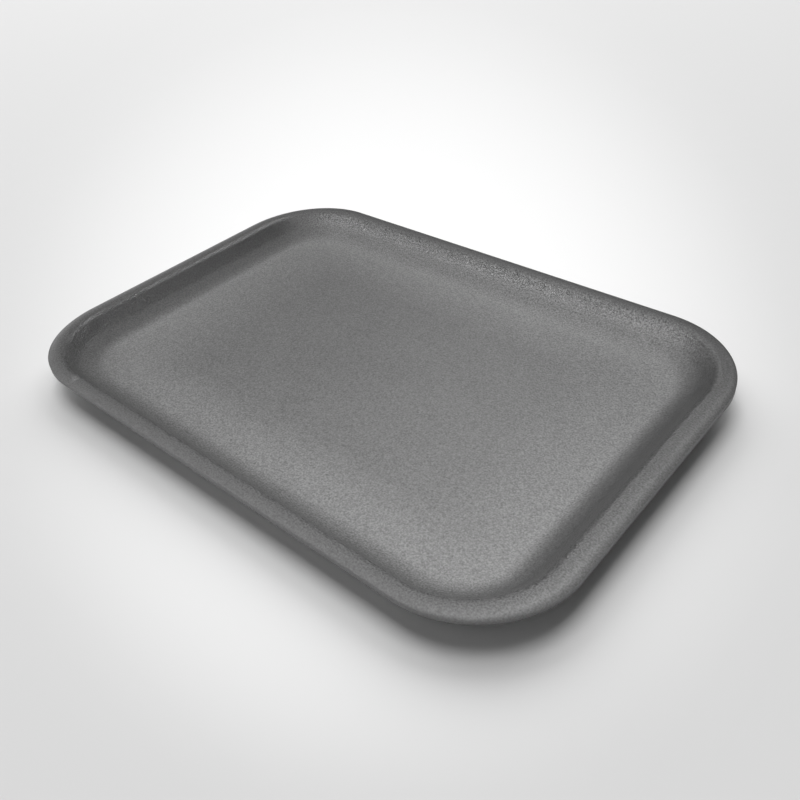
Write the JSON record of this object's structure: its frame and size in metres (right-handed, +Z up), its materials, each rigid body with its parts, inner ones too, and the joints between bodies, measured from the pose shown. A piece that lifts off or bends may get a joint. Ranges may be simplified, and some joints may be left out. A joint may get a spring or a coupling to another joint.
{
  "type": "foam meat tray",
  "caption": "Shallow rounded rectangular foam tray with a flat floor, coved walls and a crowned rim that droops to a cut edge.",
  "frame": {"origin": "centre of the underside of the floor", "axes": "+X along the tray's length, +Y along its width, +Z up out of the floor"},
  "size_m": [0.2096, 0.146, 0.0127],
  "materials": {
    "foam": "satin skin over fine closed cells, charcoal grey"
  },
  "bodies": {
    "root": {"tray": "foam"}
  },
  "joints": []
}
